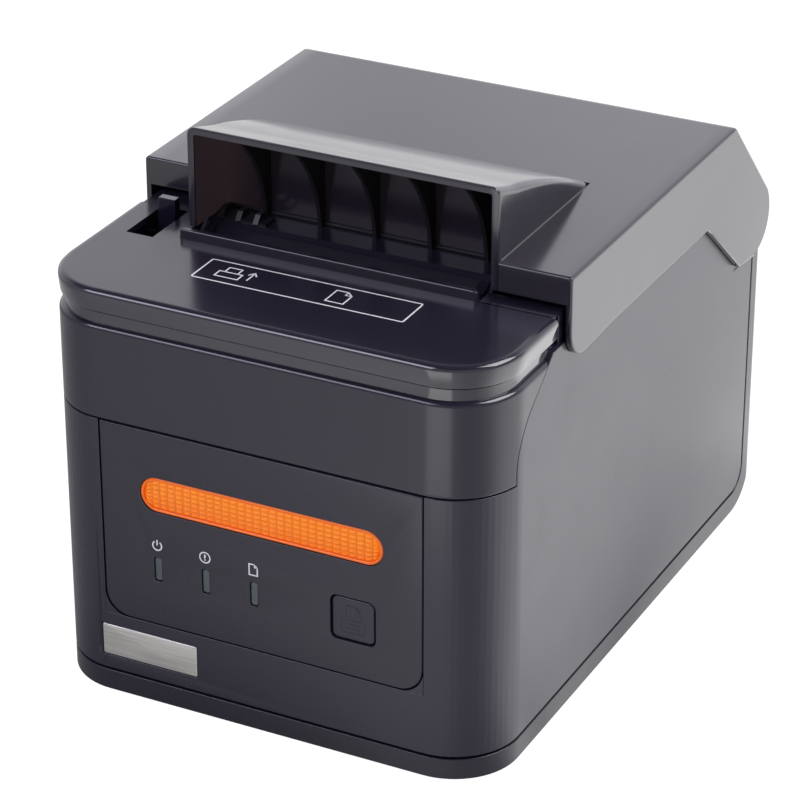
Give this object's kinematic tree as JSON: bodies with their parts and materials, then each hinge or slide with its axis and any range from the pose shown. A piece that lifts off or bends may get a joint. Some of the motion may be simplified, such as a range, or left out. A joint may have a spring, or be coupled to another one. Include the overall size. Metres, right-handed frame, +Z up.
{
  "type": "receipt printer",
  "caption": "Desktop thermal receipt printer with a drop-in paper bay, hinged smoke splash cover with tear-off hood, sliding cutter cover, amber light bar and feed button.",
  "frame": {"origin": "on the table, under the centre of the printer's overall footprint", "axes": "+Z up, -Y towards the user at the front, +X to the right seen from the front"},
  "size_m": [0.145, 0.1955, 0.1615],
  "materials": {
    "housing_plastic": "fine spark-eroded satin, dark grey",
    "tray_plastic": "satin dark grey",
    "panel_plastic": "satin dark grey",
    "smoke_plastic": "satin smoke-tinted translucent",
    "amber_lens": "lit amber lens with moulded prisms",
    "white_diffuser": "milky light pipe",
    "button_plastic": "satin dark grey with a line symbol",
    "brushed_plate": "brushed, bare",
    "black_plastic": "satin black",
    "gloss_black": "glossy black",
    "nylon": "natural nylon",
    "steel_sheet": "zinc-plated sheet",
    "steel_pin": "ground steel",
    "blade_steel": "ground tool steel",
    "aluminium_sink": "extruded",
    "platen_rubber": "ground silicone rubber",
    "foot_rubber": "matt rubber",
    "brass_gear": "turned brass",
    "motor_steel": "nickel-plated can",
    "circuit_board": "green solder mask",
    "head_ceramic": "glazed heater strip",
    "port_metal": "plated shell"
  },
  "bodies": {
    "case": {"base_tray": "tray_plastic", "main_housing": "housing_plastic", "control_panel": "panel_plastic", "light_bar_lens": "amber_lens", "light_bar_board": "circuit_board", "status_light_pipes": "white_diffuser", "panel_board": "circuit_board", "badge_plate": "brushed_plate", "lever_spring": "steel_pin", "hinge_pins": "steel_pin", "mech_frame": "steel_sheet", "head_springs": "steel_pin", "head_pivot_pin": "steel_pin", "feed_motor": "motor_steel", "idler_pin": "steel_pin", "cutter_frame": "steel_sheet", "cutter_gear_pin": "steel_pin", "cutter_motor": "motor_steel", "paper_bucket": "black_plastic", "paper_end_sensor": "black_plastic", "near_end_sensor": "black_plastic", "main_board": "circuit_board", "board_components": "black_plastic", "power_inlet": "black_plastic", "usb_port": "port_metal", "lan_port": "port_metal", "drawer_port": "black_plastic", "rocker_bezel": "black_plastic", "buzzer": "black_plastic", "rubber_feet": "foot_rubber", "case_screws": "steel_pin", "mechanism_screws": "steel_pin"},
    "top_cover": {"splash_cover": "smoke_plastic", "paper_lid": "gloss_black", "exit_guide": "black_plastic", "platen_bearings": "nylon", "fixed_blade": "blade_steel"},
    "platen": {"platen_roller": "platen_rubber", "platen_shaft": "steel_pin", "platen_gear": "nylon"},
    "idler": {"idler_gear": "nylon"},
    "feed_pinion": {"motor_pinion": "brass_gear"},
    "cutter_cover": {"front_cover": "housing_plastic"},
    "latch": {"release_lever": "black_plastic", "latch_shaft": "steel_pin", "latch_hooks": "steel_sheet"},
    "feed_key": {"feed_button": "button_plastic"},
    "head": {"print_head": "head_ceramic", "heat_sink": "aluminium_sink"},
    "blade": {"moving_blade": "blade_steel"},
    "cutter_wheel": {"cutter_gear": "nylon"},
    "cutter_pinion": {"cutter_motor_pinion": "brass_gear"},
    "switch_rocker": {"power_rocker": "gloss_black"}
  },
  "joints": [
    {"name": "top_cover_hinge", "type": "hinge", "parent": "case", "child": "top_cover", "pos_m": [0, 0.08575, 0.1016], "axis": [-1, 0, 0], "range_deg": [0, 75]},
    {"name": "platen_spin", "type": "hinge", "parent": "top_cover", "child": "platen", "pos_m": [0, -0.04475, 0.115], "axis": [1, 0, 0], "continuous": true},
    {"name": "idler_spin", "type": "hinge", "parent": "case", "child": "idler", "pos_m": [0.0495, -0.04659, 0.09709], "axis": [1, 0, 0], "continuous": true},
    {"name": "feed_pinion_spin", "type": "hinge", "parent": "case", "child": "feed_pinion", "pos_m": [0.0495, -0.06038, 0.09466], "axis": [1, 0, 0], "continuous": true},
    {"name": "front_cover_slide", "type": "slide", "parent": "case", "child": "cutter_cover", "axis": [0, -1, 0], "range_m": [0, 0.012]},
    {"name": "latch_turn", "type": "hinge", "parent": "case", "child": "latch", "pos_m": [0, -0.04375, 0.082], "axis": [1, 0, 0], "range_deg": [0, 6], "stiffness_Nm_per_rad": 0.15, "springref_deg": -17.19},
    {"name": "feed_button_press", "type": "slide", "parent": "case", "child": "feed_key", "axis": [0, 1, 0], "range_m": [0, 0.001], "stiffness_N_per_m": 800, "springref_m": -0.0006},
    {"name": "head_tilt", "type": "hinge", "parent": "case", "child": "head", "pos_m": [0, -0.05435, 0.107], "axis": [1, 0, 0], "range_deg": [0, 2.5], "stiffness_Nm_per_rad": 2, "springref_deg": -2.86},
    {"name": "cutter_gear_spin", "type": "hinge", "parent": "case", "child": "cutter_wheel", "pos_m": [-0.036, -0.06975, 0.11316], "axis": [-1, 0, 0], "range_deg": [0, 63.6]},
    {"name": "blade_slide", "type": "slide", "parent": "case", "child": "blade", "axis": [0, 1, 0], "range_m": [0, 0.008]},
    {"name": "cutter_pinion_spin", "type": "hinge", "parent": "case", "child": "cutter_pinion", "pos_m": [-0.0317, -0.07767, 0.10524], "axis": [-1, 0, 0], "range_deg": [-114.6, 0]},
    {"name": "power_switch", "type": "hinge", "parent": "case", "child": "switch_rocker", "pos_m": [0.048, 0.09115, 0.052], "axis": [1, 0, 0], "range_deg": [0, 16]}
  ],
  "couplings": [
    {"joint": "idler_spin", "follows": "platen_spin", "ratio": -0.8},
    {"joint": "feed_pinion_spin", "follows": "platen_spin", "ratio": 2},
    {"joint": "blade_slide", "follows": "cutter_gear_spin", "m_per_rad": 0.0072},
    {"joint": "cutter_pinion_spin", "follows": "cutter_gear_spin", "ratio": -1.8}
  ]
}
